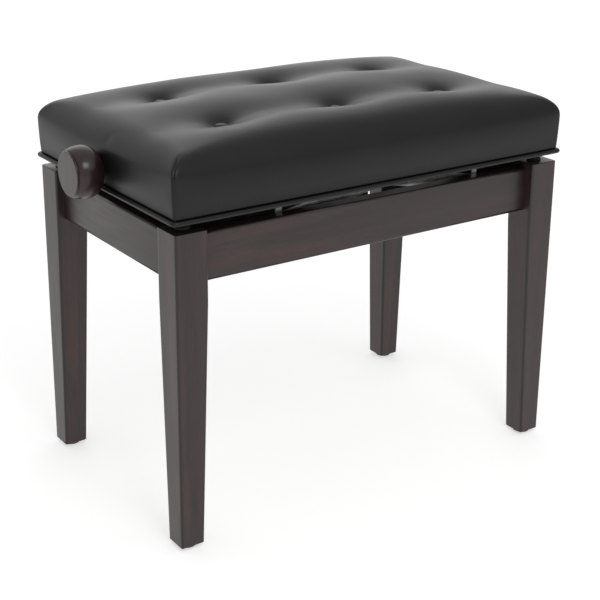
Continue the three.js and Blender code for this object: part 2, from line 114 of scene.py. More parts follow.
def ramp(tree, factor, stops):
    """A colour ramp: stops are (position, (r, g, b))."""
    node = add_node(tree, "ShaderNodeValToRGB", {"Fac": factor})
    elements = node.color_ramp.elements
    while len(elements) < len(stops):
        elements.new(0.5)
    for element, (position, colour) in zip(elements, stops):
        element.position = position
        element.color = (*colour, 1)
    return node.outputs["Color"]


def remap(tree, value, low, high, to_low, to_high):
    inputs = {
        "Value": value,
        "From Min": low,
        "From Max": high,
        "To Min": to_low,
        "To Max": to_high,
    }
    return add_node(tree, "ShaderNodeMapRange", inputs).outputs["Result"]


def mix_colour(tree, factor, first, second, blend="MIX"):
    node = add_node(tree, "ShaderNodeMix", data_type="RGBA", blend_type=blend)
    for socket, value in ((node.inputs[0], factor), (node.inputs[6], first), (node.inputs[7], second)):
        if isinstance(value, bpy.types.NodeSocket):
            tree.links.new(value, socket)
        else:
            socket.default_value = value
    return node.outputs[2]


def bump(tree, height, strength, distance, normal=None):
    inputs = {"Height": height, "Strength": strength, "Distance": distance}
    if normal is not None:
        inputs["Normal"] = normal
    return add_node(tree, "ShaderNodeBump", inputs).outputs["Normal"]


# ---- materials ------------------------------------------------------------------------------
# Colour ramps are lists of (position, (red, green, blue)).
WOOD_STAIN = [
    (0.25, (0.015, 0.0085, 0.0095)),
    (0.5, (0.03, 0.015, 0.0155)),
    (0.75, (0.06, 0.022, 0.021)),
]
TURNED_STAIN = [
    (0.25, (0.012, 0.005, 0.0055)),
    (0.5, (0.024, 0.0085, 0.009)),
    (0.75, (0.042, 0.012, 0.012)),
]
WOOD_STREAK = [(0.3, (0.5, 0.46, 0.46)), (0.55, (0.95, 0.9, 0.9)), (0.75, (1.5, 1.1, 1.05))]
WOOD_PORE = (0.009, 0.006, 0.006, 1)
# painted shade: the dark colour that rounded edges are drawn towards, standing in for the darker surround
# that they reflect
WOOD_EDGE_SHADE = (0.008, 0.005, 0.005, 1)
GRAIN_STRETCH = 14.0  # how much finer wood figure is across the grain than along it
STREAK_SHARE = 0.55
EDGE_SHADE_SHARE = 0.75  # how far the painted edge shade darkens the stain along an edge
LEATHER_CLOUDS = [(0.3, (0.0032, 0.0032, 0.0035)), (0.7, (0.0052, 0.0052, 0.0056))]
PEBBLE_SCALE = 620.0  # pebbles of the vinyl's grain per metre
ZINC_MOTTLE = [(0.3, (0.56, 0.57, 0.59)), (0.7, (0.78, 0.78, 0.78))]
FLOOR_GREY = (0.62, 0.62, 0.62, 1)
FLOOR_GLOW = 0.55


def wood_material(name, grain_axis, stains=WOOD_STAIN, coat=0.3, coat_roughness=0.3, gloss=0.35):
    """Dark red-brown stained hardwood under lacquer, with its grain along one axis and painted shade on its
    rounded edges.
    """
    material, tree, shader = start_material(
        name, Coat_Weight=coat, Coat_Roughness=coat_roughness, Specular_IOR_Level=gloss
    )
    scale = [GRAIN_STRETCH] * 3
    scale[grain_axis] = 1.0
    vector = object_space(tree, scale)
    figure = noise(tree, vector, 3.2, 4.0, 0.55, 0.6)
    streaks = noise(tree, vector, 16.0, 5.0, 0.6, 0.25)
    pores = noise(tree, vector, 85.0, 3.0, 0.6)
    stain = ramp(tree, figure, stains)
    streak = ramp(tree, streaks, WOOD_STREAK)
    colour = mix_colour(tree, STREAK_SHARE, stain, streak, "MULTIPLY")
    pore_depth = remap(tree, pores, 0.36, 0.5, 0.55, 0.0)
    colour = mix_colour(tree, pore_depth, colour, WOOD_PORE)
    # painted shade: the stain darkens along the rounded edges, where they reflect the darker surround
    edge = add_node(tree, "ShaderNodeAttribute", attribute_name="edge").outputs["Fac"]
    edge_shade = add_node(tree, "ShaderNodeMath", {0: edge, 1: EDGE_SHADE_SHARE}, operation="MULTIPLY").outputs[0]
    colour = mix_colour(tree, edge_shade, colour, WOOD_EDGE_SHADE)
    tree.links.new(colour, shader.inputs["Base Color"])
    tree.links.new(remap(tree, streaks, 0.3, 0.7, 0.36, 0.5), shader.inputs["Roughness"])
    tree.links.new(bump(tree, pores, 0.12, 0.0002), shader.inputs["Normal"])
    return material


def leather_material(name):
    """Black upholstery vinyl: a fine pebbled grain under a soft sheen."""
    material, tree, shader = start_material(name, Specular_IOR_Level=0.3)
    vector = object_space(tree, (1, 1, 1))
    cells = {"Vector": vector, "Scale": PEBBLE_SCALE}
    pebbles = add_node(tree, "ShaderNodeTexVoronoi", cells, feature="SMOOTH_F1").outputs["Distance"]
    creases = noise(tree, vector, 420.0, 4.0, 0.6, 0.3)
    clouds = noise(tree, vector, 11.0, 3.0)
    tree.links.new(ramp(tree, clouds, LEATHER_CLOUDS), shader.inputs["Base Color"])
    tree.links.new(remap(tree, clouds, 0.3, 0.7, 0.36, 0.42), shader.inputs["Roughness"])
    grain = bump(tree, pebbles, 0.4, 0.0003)
    tree.links.new(bump(tree, creases, 0.1, 0.0003, grain), shader.inputs["Normal"])
    return material


def steel_material(name):
    """Zinc-plated pressed steel: grey, faintly mottled and brushed."""
    material, tree, shader = start_material(name, Metallic=1.0)
    vector = object_space(tree, (1, 1, 1))
    mottle = noise(tree, vector, 60.0, 4.0, 0.6)
    scratches = noise(tree, object_space(tree, (1, 30, 30)), 90.0, 3.0)
    tree.links.new(ramp(tree, mottle, ZINC_MOTTLE), shader.inputs["Base Color"])
    tree.links.new(remap(tree, mottle, 0.3, 0.7, 0.26, 0.42), shader.inputs["Roughness"])
    tree.links.new(bump(tree, scratches, 0.08, 0.0001), shader.inputs["Normal"])
    return material


def plain_material(name, colours, roughness, grain_scale, depth, stretch=(1, 1, 1), **sockets):
    """A material of two near colours in a grain, whose bump is depth metres deep."""
    material, tree, shader = start_material(name, **sockets)
    vector = object_space(tree, stretch)
    grain = noise(tree, vector, grain_scale, 4.0, 0.6, 0.2)
    tree.links.new(ramp(tree, grain, [(0.3, colours[0]), (0.7, colours[1])]), shader.inputs["Base Color"])
    tree.links.new(remap(tree, grain, 0.3, 0.7, *roughness), shader.inputs["Roughness"])
    tree.links.new(bump(tree, grain, 0.4, depth), shader.inputs["Normal"])
    return material


def floor_material():
    """White paper, opaque from above and clear from below, so that views of the underside see past it."""
    material, tree, shader = start_material("studio_paper", Roughness=0.9, Specular_IOR_Level=0.1)
    shader.inputs["Base Color"].default_value = FLOOR_GREY
    shader.inputs["Emission Color"].default_value = (1, 1, 1, 1)
    shader.inputs["Emission Strength"].default_value = FLOOR_GLOW
    back = add_node(tree, "ShaderNodeNewGeometry").outputs["Backfacing"]
    clear = add_node(tree, "ShaderNodeBsdfTransparent")
    both = add_node(tree, "ShaderNodeMixShader", {0: back, 1: shader.outputs[0], 2: clear.outputs[0]})
    output = tree.nodes["Material Output"]
    tree.links.new(both.outputs[0], output.inputs["Surface"])
    return material


WOOD = [wood_material("stained_wood_" + "xyz"[axis], axis) for axis in range(3)]
TURNED_WOOD = wood_material("polished_wood", 2, TURNED_STAIN, coat=0.6, coat_roughness=0.2, gloss=0.15)
LEATHER = leather_material("black_vinyl")
ZINC = steel_material("zinc_plate")
DARK_STEEL = plain_material(
    "black_enamel", [(0.004, 0.004, 0.0045), (0.008, 0.008, 0.009)], (0.5, 0.65), 700, 0.00005,
    Specular_IOR_Level=0.25,
)
RUBBER = plain_material(
    "black_rubber", [(0.008, 0.008, 0.008), (0.02, 0.02, 0.02)], (0.6, 0.8), 900, 0.0001
)
BLOCK_WOOD = plain_material(
    "bare_beech", [(0.26, 0.15, 0.08), (0.42, 0.27, 0.15)], (0.6, 0.8), 30, 0.0001, (2, 2, 12)
)
PLYWOOD = plain_material(
    "bare_plywood", [(0.33, 0.21, 0.12), (0.52, 0.37, 0.23)], (0.65, 0.85), 25, 0.0001, (1, 4, 22)
)
LINING = plain_material(
    "vinyl_backing", [(0.02, 0.02, 0.021), (0.045, 0.045, 0.046)], (0.8, 0.95), 1500, 0.0001
)
FINISH = {
    "dark_wood": WOOD[2],
    "block_wood": BLOCK_WOOD,
    "plywood": PLYWOOD,
    "black_leather": LEATHER,
    "rubber": RUBBER,
    "zinc_steel": ZINC,
    "dark_steel": DARK_STEEL,
}
SLOT_OF = {row["node"]: row["material_slot"] for row in frame["record"]["subparts"]}


# ---- mesh helpers ---------------------------------------------------------------------------
def make_piece(name, points, faces, body, slot, material=None, replaced=(), edge=None, crisp=True):
    """A smooth-shaded piece that rides on a body. crisp keeps its flat faces flat."""
    mesh = bpy.data.meshes.new(name)
    mesh.from_pydata([tuple(p) for p in points], [], faces)
    work = bmesh.new()
    work.from_mesh(mesh)
    bmesh.ops.recalc_face_normals(work, faces=work.faces)
    for face in work.faces:
        face.smooth = True
    work.to_mesh(mesh)
    work.free()
    if edge is not None:
        # marks the rounded edges, which the wood materials darken with painted shade
        mesh.attributes.new("edge", "FLOAT", "POINT").data.foreach_set("value", edge)
    return place_piece(name, mesh, body, slot, material, replaced, crisp)


def place_piece(name, mesh, body, slot, material=None, replaced=(), crisp=True):
    piece = bpy.data.objects.new(name, mesh)
    SCENE.collection.objects.link(piece)
    mesh.materials.clear()
    mesh.materials.append(material or FINISH[slot])
    if crisp:
        normals = piece.modifiers.new("flat_faces", "WEIGHTED_NORMAL")
        normals.keep_sharp = False
    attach(piece, body)
    if replaced:
        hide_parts(*replaced)
    return piece


def loft(rings, capped=True):
    """Points and faces of a skin over closed rings of equal counts, with its two ends filled."""
    count = len(rings[0])
    points = np.concatenate([np.asarray(ring, float) for ring in rings])
    faces = []
    for k in range(len(rings) - 1):
        for i in range(count):
            j = (i + 1) % count
            faces.append((k * count + i, k * count + j, (k + 1) * count + j, (k + 1) * count + i))
    if capped:
        last = (len(rings) - 1) * count
        faces.append(tuple(range(count))[::-1])
        faces.append(tuple(range(last, last + count)))
    return points, faces


def closed_loft(rings):
    """Points and faces of a skin over closed rings, whose last ring is joined to the first."""
    points, faces = loft([*rings, rings[0]], capped=False)
    count = len(rings) * len(rings[0])
    return points[:count], [tuple(v % count for v in face) for face in faces]


def densify(line, step):
    """Adds points to a closed outline so that each side is under two steps long."""
    result = []
    for a, b in zip(line, np.roll(line, -1, axis=0)):
        parts = max(1, int(np.linalg.norm(b - a) / step))
        result += [a + (b - a) * k / parts for k in range(parts)]
    return np.array(result)


def rounded_section(half_a, half_b, radius, support=1.6 * MM, steps=3):
    """A rounded rectangle with a support point beside each arc, and 1 where a point is on an arc."""
    points, edge = [], []
    for k, (sa, sb) in enumerate(((1, 1), (-1, 1), (-1, -1), (1, -1))):
        centre = np.array([sa * (half_a - radius), sb * (half_b - radius)])
        start = k * math.pi / 2
        arc = [start + math.pi / 2 * i / steps for i in range(steps + 1)]
        on_arc = [centre + radius * np.array([math.cos(t), math.sin(t)]) for t in arc]
        before = on_arc[0] - support * np.array([-math.sin(arc[0]), math.cos(arc[0])])
        after = on_arc[-1] + support * np.array([-math.sin(arc[-1]), math.cos(arc[-1])])
        points += [before, *on_arc, after]
        edge += [0.0] + [1.0] * len(on_arc) + [0.0]
    return np.array(points), edge


def lathe(profile, sides, axis_point, axis=2):
    """Points and faces of a turned piece: profile is (radius, height) along the axis."""
    rings = []
    turn = np.arange(sides) * 2 * math.pi / sides
    first, second = [(1, 2), (2, 0), (0, 1)][axis]
    for radius, height in profile:
        ring = np.zeros((sides, 3))
        ring[:, first] = radius * np.cos(turn)
        ring[:, second] = radius * np.sin(turn)
        ring[:, axis] = height
        rings.append(ring + np.asarray(axis_point, float))
    return loft(rings)


def smooth_profile(points, steps=4):
    """A Catmull-Rom curve through a given outline."""
    knots = np.array([points[0], *points, points[-1]], float)
    curve = []
    for a, b, c, d in zip(knots, knots[1:], knots[2:], knots[3:]):
        for t in np.arange(steps) / steps:
            curve.append(0.5 * (2 * b + (c - a) * t + (2 * a - 5 * b + 4 * c - d) * t**2
                                + (3 * b - a - 3 * c + d) * t**3))
    curve.append(knots[-1])
    return np.array(curve)


def refine(node, bevel):
    """A cleaned copy of a rigid CAD node with its edges eased, standing for that node."""
    name = node + "_finish"
    mesh = frame["nodes"][node].data.copy()
    mesh.name = name
    work = bmesh.new()
    work.from_mesh(mesh)
    bmesh.ops.remove_doubles(work, verts=work.verts, dist=1e-6)
    bmesh.ops.dissolve_limit(work, angle_limit=math.radians(1.5), verts=work.verts, edges=work.edges)
    for face in work.faces:
        face.smooth = True
    work.to_mesh(mesh)
    work.free()
    piece = place_piece(name, mesh, BODY_OF[node], SLOT_OF[node], None, [node], crisp=False)
    ease = piece.modifiers.new("eased_edges", "BEVEL")
    ease.width = bevel
    ease.segments = 2
    ease.limit_method = "ANGLE"
    ease.angle_limit = math.radians(35)
    normals = piece.modifiers.new("flat_faces", "WEIGHTED_NORMAL")
    normals.keep_sharp = False
    return piece


# ---- base: legs, aprons, glides and bumpers ---------------------------------------------------
LEG_FOOT = 29 * MM
LEG_TAPER_Z = 288 * MM
LEG_EDGE = 2.0 * MM
END_EASE = 0.8 * MM
APRON_EDGE = 2 * MM


def make_legs():
    """Legs whose outer faces are straight and whose inner faces taper below the aprons."""
    for corner, (sx, sy) in CORNERS.items():
        node = "leg_" + corner
        low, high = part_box(node)
        top_size = high.x - low.x
        outer = np.array([low.x if sx < 0 else high.x, low.y if sy < 0 else high.y])
        levels = [
            (low.z, LEG_FOOT, END_EASE),
            (low.z + END_EASE, LEG_FOOT, 0),
            (LEG_TAPER_Z - 2 * MM, top_size - 0.15 * MM, 0),
            (LEG_TAPER_Z + 4 * MM, top_size, 0),
            (high.z - END_EASE, top_size, 0),
            (high.z, top_size, END_EASE),
        ]
        rings, edge = [], []
        for z, size, inset in levels:
            section, on_edge = rounded_section(size / 2 - inset, size / 2 - inset, LEG_EDGE)
            centre = outer - np.array([sx, sy]) * size / 2
            rings.append(np.column_stack([section + centre, np.full(len(section), z)]))
            edge += [1.0] * len(on_edge) if inset else on_edge
        points, faces = loft(rings)
        make_piece(node + "_wood", points, faces, "base", "dark_wood", WOOD[2], [node], edge)


def make_apron(node, axis):
    """A board along X (axis 0) or Y (axis 1)."""
    low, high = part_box(node)
    middle, half = (low + high) / 2, (high - low) / 2
    section, on_edge = rounded_section(half[1 - axis], half.z, APRON_EDGE)
    rings = []
    for end in (-1, 1):
        ring = np.zeros((len(section), 3))
        ring[:, axis] = middle[axis] + end * half[axis]
        ring[:, 1 - axis] = middle[1 - axis] + section[:, 0]
        ring[:, 2] = middle.z + section[:, 1]
        rings.append(ring)
    points, faces = loft(rings)
    make_piece(node + "_wood", points, faces, "base", "dark_wood", WOOD[axis], [node], on_edge * 2)


def box_middle(node):
    low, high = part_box(node)
    return (low + high) / 2, high - low


def make_glides_and_bumpers():
    """Turned nylon glides under the legs, and domed rubber bumpers on top of them."""
    for corner in CORNERS:
        node = "glide_" + corner
        middle, size = box_middle(node)
        r, h = size.x / 2, size.z
        profile = [
            (0.5 * MM, 0.8 * MM), (2.6 * MM, 0.8 * MM), (3 * MM, 0), (r - 2 * MM, 0),
            (r - 0.7 * MM, 0.4 * MM), (r, 1.6 * MM), (r, h - 0.5 * MM), (r - 0.5 * MM, h), (1 * MM, h),
        ]
        floor_point = (middle.x, middle.y, middle.z - h / 2)
        make_piece(node + "_nylon", *lathe(profile, 40, floor_point), "base", "rubber", None, [node])

        node = "bumper_" + corner
        middle, size = box_middle(node)
        r, h = size.x / 2, size.z
        profile = [
            (1 * MM, 0), (r - 0.4 * MM, 0), (r, 0.4 * MM), (r, 1.4 * MM), (r - 0.5 * MM, 1.9 * MM),
            (r - 1.1 * MM, 2.1 * MM), (r - 1.3 * MM, 2.6 * MM), (r * 0.7, h * 0.86),
            (r * 0.42, h * 0.97), (0.6 * MM, h),
        ]
        top_point = (middle.x, middle.y, middle.z - h / 2)
        make_piece(node + "_pad", *lathe(profile, 40, top_point), "base", "rubber", None, [node],
                   crisp=False)


# ---- knob and rod -------------------------------------------------------------------------------
# The knob's side from its face to its back, as (radius, distance from the face) in mm.
KNOB_OUTLINE = [
    (24.4, 0), (24.9, 0.25), (25.1, 0.8), (25.1, 2.2), (25.2, 2.5), (26.2, 2.7), (27.6, 4.9),
    (28.9, 8.4), (29.7, 12.5), (30.05, 17), (29.8, 21.5), (28.5, 26), (26, 30),
    (22.2, 33.6), (18.6, 35.4), (17.4, 35.7),
]
ROD_RADIUS = 5 * MM
PLAIN_END = 60 * MM  # length of the rod without thread, through the end plate and the knob
THREAD_PITCH = 3 * MM
THREAD_DEPTH = 0.75 * MM
ROWS_PER_TURN = 8
COLLAR_RADIUS = 9 * MM
COLLAR_SPAN = (1.7 * MM, 5.6 * MM)  # distances of a collar's two faces from its end plate's middle
COLLAR_EDGE = 0.4 * MM


def make_knob():
    """The turned hand knob on the rod's left end."""
    low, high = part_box("knob")
    centre = (low + high) / 2
    outline = [(r * MM, x * MM) for r, x in smooth_profile(KNOB_OUTLINE, 3)]
    face = [(2 * MM, 0), (12 * MM, 0), (21 * MM, 0), (24.2 * MM, 0)]
    depth = high.x - low.x
    back = [(14 * MM, depth), (5.6 * MM, depth)]
    points, faces = lathe([*face, *outline, *back], 96, (low.x, centre.y, centre.z), 0)
    make_piece("knob_turned", points, faces, "screw", "dark_wood", TURNED_WOOD, ["knob"])


def make_rod():
    """The threaded rod: a helix worked into its wall between plain ends, and two collars."""
    low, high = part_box("threaded_rod")
    centre = (low + high) / 2
    radius = ROD_RADIUS
    sides = 28
    start, end = low.x + PLAIN_END, high.x - 2 * MM
    rows = int((end - start) / THREAD_PITCH * ROWS_PER_TURN)
    turn = np.arange(sides) * 2 * math.pi / sides
    plain = [(low.x, 0.6), (low.x, 0.98), (start - 0.5 * MM, 0.98)]
    rings = [circle_x(x, radius * share, turn, centre) for x, share in plain]
    for k in range(rows + 1):
        x = start + (end - start) * k / rows
        phase = (x / THREAD_PITCH - turn / (2 * math.pi)) % 1
        tooth = np.clip(np.abs(phase - 0.5) * 4 - 0.5, 0, 1)
        rings.append(circle_x(x, radius * 0.98 - THREAD_DEPTH * tooth, turn, centre))
    rings.append(circle_x(high.x, radius * 0.7, turn, centre))
    points, faces = loft(rings)
    make_piece("threaded_rod_steel", points, faces, "screw", "zinc_steel", None, ["threaded_rod"])
    plate = box_middle("end_plate_left")[0].x
    for name, side in ENDS.items():
        near, far = COLLAR_SPAN
        profile = [(radius, near), (COLLAR_RADIUS - COLLAR_EDGE, near), (COLLAR_RADIUS, near + COLLAR_EDGE),
                   (COLLAR_RADIUS, far - COLLAR_EDGE), (COLLAR_RADIUS - COLLAR_EDGE, far), (radius, far)]
        profile = [(r, side * x) for r, x in profile]
        collar = lathe(profile, 36, (plate, centre.y, centre.z), 0)
        make_piece("rod_collar_" + name, *collar, "screw", "zinc_steel")


def circle_x(x, radius, turn, centre):
    radius = np.broadcast_to(radius, turn.shape)
    y = centre.y + radius * np.cos(turn)
    z = centre.z + radius * np.sin(turn)
    return np.column_stack([np.full(len(turn), x), y, z])


# ---- cushion --------------------------------------------------------------------------------------
SHOULDER_WIDTH = 28 * MM
SHOULDER_DROP = 21 * MM
SHOULDER_ANGLES = range(9, 91, 9)  # degrees round the shoulder, from the top to the side
CORNER_TUCK = 0.5  # how much narrower the shoulder is at a corner, where the seam holds it out
CROWN = 24 * MM
CUSHION_TOP = 476.5 * MM  # top of the padding at the middle, before the buttons pull it down
CROWN_POWER = (3.6, 4.5)  # along X and Y: higher is flatter, with a quicker fall at the shoulder
TUFT_REACH = 31 * MM  # radius at which a dimple's slope has fallen to a half
TUFT_POWER = 2.5
TUFT_STRETCH = 1.18  # how much wider a dimple is along its row than across it
PINCH = 0.9  # how much steeper the cover dives in beside a button
PINCH_REACH = 8 * MM
CHANNEL_DEPTH = 7.5 * MM  # the shallow valley that joins the buttons of a row
CHANNEL_WIDTH = 30 * MM
CHANNEL_FADE = 0.5  # how much shallower it is at the ends
BUTTON_SEAT = 8 * MM  # radius of the disc that a button holds down
SEAT_BELOW = 0.6 * MM  # how far the padding goes below a button
PULL_FROM = 0.405  # height from which the buttons' pull grows, until all of it acts above PULL_FULL
PULL_FULL = 0.45
TOP_ABOVE = 0.44  # height above which a point counts as part of the top
CELL = 4.6 * MM
SIDE_ROWS = [425, 419, 412, 405, 399, 394, 390.5, 388, 387]  # heights of the side's rows, in mm
FOOT_ROWS = [(386.3, -0.4), (384.4, -0.8)]  # rows behind the piping: height and offset, in mm
START_SMALLER = 1.5 * MM
SIDE_PULL = 0.8 * MM  # how far the cover is drawn in at the piping
SIDE_SWELL = 2.6 * MM  # how far it stands out below the shoulder
TRAVEL_CAP = 5 * MM  # the furthest that the simulation may move a point
HELD_FOOT = 8 * MM  # height of the band at the foot that stays where it is
SEAM_CORNERS = ("front_left", "front_right", "rear_right", "rear_left")
SEAM_FIRST_ROW = 1
SEAM_DEPTH = 2.0 * MM
SEAM_CORD = 0.55 * MM
SEAM_CORD_SIDES = 10
BUTTON_DOME = 1.2 * MM  # how much the stuffing lifts a button's cover
PIPING_RADIUS = 2.8 * MM
PIPING_CORNER = 4 * MM
PIPING_SIDES = 14
BUTTONS = [f"button_{row}_{column}" for row in SIDES for column in ("left", "middle", "right")]


def grid_lines(reach):
    """Symmetrical lines about zero, closer together at the ends."""
    ends = np.cumsum([0, 1.4, 1.8, 2.6, 3.6]) * MM
    inner = np.linspace(0, reach - ends[-1], max(2, round((reach - ends[-1]) / CELL)))
    half = np.concatenate([inner[:-1], reach - ends[::-1]])
    return np.concatenate([-half[:0:-1], half])


def on_outline(s, t, half_x, half_y, radius):
    """The point of a rounded rectangle that a point of the unit square's rim maps to."""
    def corner(along, reach, other):
        excess = max(0.0, abs(along) * reach - (reach - radius))
        if excess <= 0:
            return along * reach, other
        angle = excess / radius * math.pi / 4
        near = math.copysign(reach - radius + radius * math.sin(angle), along)
        return near, other - radius * (1 - math.cos(angle))
    if abs(s) >= abs(t):
        y, x = corner(t / max(abs(s), 1e-9), half_y, half_x)
        return math.copysign(x, s), y
    x, y = corner(s / abs(t), half_x, half_y)
    return x, math.copysign(y, t)


def shoulder_width(s, t):
    """The shoulder's width at a point of the unit square's rim."""
    low, high = sorted((abs(s), abs(t)))
    return SHOULDER_WIDTH * (1 - CORNER_TUCK * (low / max(high, 1e-9)) ** 8)


def tuft_depth(x, y, tufts):
    """How far the buttons pull the padding down: a wide cone with a long soft rim."""
    radii = np.linspace(BUTTON_SEAT, 10 * TUFT_REACH, 400)
    slope = 1 / (1 + (radii / TUFT_REACH) ** TUFT_POWER)
    slope += PINCH * np.exp(-(((radii - BUTTON_SEAT) / PINCH_REACH) ** 2))
    share = np.cumsum(slope[::-1])[::-1] / slope.sum()
    total = np.zeros_like(x)
    for cx, cy, depth in tufts:
        r = np.hypot((x - cx) / TUFT_STRETCH, y - cy)
        total += depth * np.interp(r, radii, share)
    return total


def cushion_grid():
    """Points, faces and markers of the cover before it is inflated."""
    low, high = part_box("seat_cover")
    centre = (low + high) / 2
    half = np.array([high.x - low.x, high.y - low.y]) / 2 - START_SMALLER
    top_half = half - SHOULDER_WIDTH
    xs, ys = grid_lines(top_half[0]), grid_lines(top_half[1])
    row_reach = box_middle(BUTTONS[-1])[0].y - centre.y

    def crown_at(x, y):
        along = 1 - np.clip(abs(x) / half[0], 0, 1) ** CROWN_POWER[0]
        across = 1 - np.clip(abs(y) / half[1], 0, 1) ** CROWN_POWER[1]
        fade = 1 - CHANNEL_FADE * np.clip(abs(x) / half[0], 0, 1) ** 3
        valley = math.exp(-(((abs(y) - row_reach) / CHANNEL_WIDTH) ** 2))
        return float(CROWN * along * across - CHANNEL_DEPTH * fade * valley * along)

    base = CUSHION_TOP - CROWN - START_SMALLER
    points = []
    for j, y in enumerate(ys):
        for i, x in enumerate(xs):
            s, t = x / top_half[0], y / top_half[1]
            m = max(abs(s), abs(t))
            radius = corner_radius(0) * m**3
            reach = (half - shoulder_width(s, t)) * m
            px, py = on_outline(s, t, reach[0], reach[1], radius) if m > 1e-6 else (0, 0)
            points.append((px, py, base + crown_at(px, py)))
    nx, ny = len(xs), len(ys)
    faces = [
        (j * nx + i, j * nx + i + 1, (j + 1) * nx + i + 1, (j + 1) * nx + i)
        for j in range(ny - 1)
        for i in range(nx - 1)
    ]
    rim = [(i, 0) for i in range(nx)]
    rim += [(nx - 1, j) for j in range(1, ny)]
    rim += [(i, ny - 1) for i in range(nx - 2, -1, -1)]
    rim += [(0, j) for j in range(ny - 2, 0, -1)]
    previous = [j * nx + i for i, j in rim]
    directions = [(xs[i] / top_half[0], ys[j] / top_half[1]) for i, j in rim]
    shoulder = [(math.radians(a), None) for a in SHOULDER_ANGLES]
    foot = [(z * MM, inset * MM) for z, inset in FOOT_ROWS]
    sides = [(math.pi / 2, z * MM) for z in SIDE_ROWS] + [(math.pi / 2, row) for row in foot]
    corners = [k for k, (s, t) in enumerate(directions) if min(abs(s), abs(t)) > 1 - 1e-9]
    seams = [[] for _ in corners]
    for angle, level in shoulder + sides:
        drop = SHOULDER_DROP * (1 - abs(math.cos(angle)))
        extra = SIDE_SWELL * math.sin(angle) ** 3
        if isinstance(level, tuple):
            level, extra = level
        elif level is not None:
            extra = side_bulge(level)
        row = []
        for k, (s, t) in enumerate(directions):
            reach = half - shoulder_width(s, t) * (1 - math.sin(angle)) + extra
            radius = corner_radius(angle) if level is None else side_corner_radius(level)
            px, py = on_outline(s, t, reach[0], reach[1], radius)
            pz = level if level is not None else base + crown_at(px, py) - drop
            row.append(len(points))
            points.append((px, py, pz))
        count = len(row)
        for k in range(count):
            n = (k + 1) % count
            faces.append((previous[k], previous[n], row[n], row[k]))
        for seam, k in zip(seams, corners):
            seam.append(row[k])
        previous = row
    points = np.array(points)
    tufts = []
    for name in BUTTONS:
        middle = box_middle(name)[0]
        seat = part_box(name)[0].z - SEAT_BELOW
        tufts.append((middle.x - centre.x, middle.y - centre.y, seat))
    points = pull_tufts(points, tufts)
    points[:, 0] += centre.x
    points[:, 1] += centre.y
    tufts = [(x + centre.x, y + centre.y, z) for x, y, z in tufts]
    return points, faces, seams, tufts, low.z


def pull_tufts(points, tufts):
    """Lowers the top so that the padding meets each button's seat exactly."""
    x, y, z = points.T
    depths = [20 * MM] * len(tufts)
    for _ in range(6):
        current = [(cx, cy, d) for (cx, cy, _), d in zip(tufts, depths)]
        for k, (cx, cy, target) in enumerate(tufts):
            here = np.argmin(np.hypot(x - cx, y - cy) + (z < TOP_ABOVE))
            level = z[here] - tuft_depth(np.array([cx]), np.array([cy]), current)[0]
            depths[k] += level - target
    current = [(cx, cy, d) for (cx, cy, _), d in zip(tufts, depths)]
    share = np.clip((z - PULL_FROM) / (PULL_FULL - PULL_FROM), 0, 1)
    lowered = z - tuft_depth(x, y, current) * share
    return np.column_stack([x, y, lowered])


def corner_radius(angle):
    """Radius of the cover's corner, seen from above, round the shoulder."""
    return (4 + 20 * (1 - math.sin(angle)) ** 1.3) * MM


def side_corner_radius(level):
    return (2.6 + 1.4 * max(0.0, (level - 0.4) / 0.025)) * MM


def side_bulge(level):
    """How far a side stands out at a height: most below the shoulder, pulled in at the seam."""
    share = (level / MM - SIDE_ROWS[-1]) / (SIDE_ROWS[0] - SIDE_ROWS[-1])
    return (START_SMALLER - SIDE_PULL) * (1 - share) + SIDE_SWELL * share**0.8


CLOTH = {
    "quality": 6,
    "mass": 0.3,
    "tension_stiffness": 18,
    "compression_stiffness": 18,
    "shear_stiffness": 8,
    "bending_stiffness": 4,
    "air_damping": 3,
    "use_pressure": True,
    "uniform_pressure_force": 4,
    "vertex_group_mass": "held",
}


def inflate(piece, held, frames=20):
    """Blows the cover up with Blender's cloth, held at the buttons and at its foot, then fixes its shape.
    """
    start = np.array([v.co for v in piece.data.vertices])
    group = piece.vertex_groups.new(name="held")
    group.add([int(i) for i in held], 1.0, "REPLACE")
    cloth = piece.modifiers.new("Cloth", "CLOTH")
    for key, value in CLOTH.items():
        setattr(cloth.settings, key, value)
    cloth.settings.effector_weights.gravity = 0
    cloth.collision_settings.use_self_collision = False
    cloth.collision_settings.use_collision = False
    cloth.point_cache.frame_start = 1
    cloth.point_cache.frame_end = frames
    for number in range(1, frames + 1):
        SCENE.frame_set(number)
    evaluated = piece.evaluated_get(bpy.context.evaluated_depsgraph_get())
    end = np.array([v.co for v in evaluated.data.vertices])
    travel = end - start
    length = np.linalg.norm(travel, axis=1)
    travel *= (TRAVEL_CAP / np.maximum(length, TRAVEL_CAP))[:, None]
    piece.modifiers.remove(cloth)
    piece.vertex_groups.remove(group)
    SCENE.frame_set(1)
    piece.data.vertices.foreach_set("co", (start + travel).ravel())


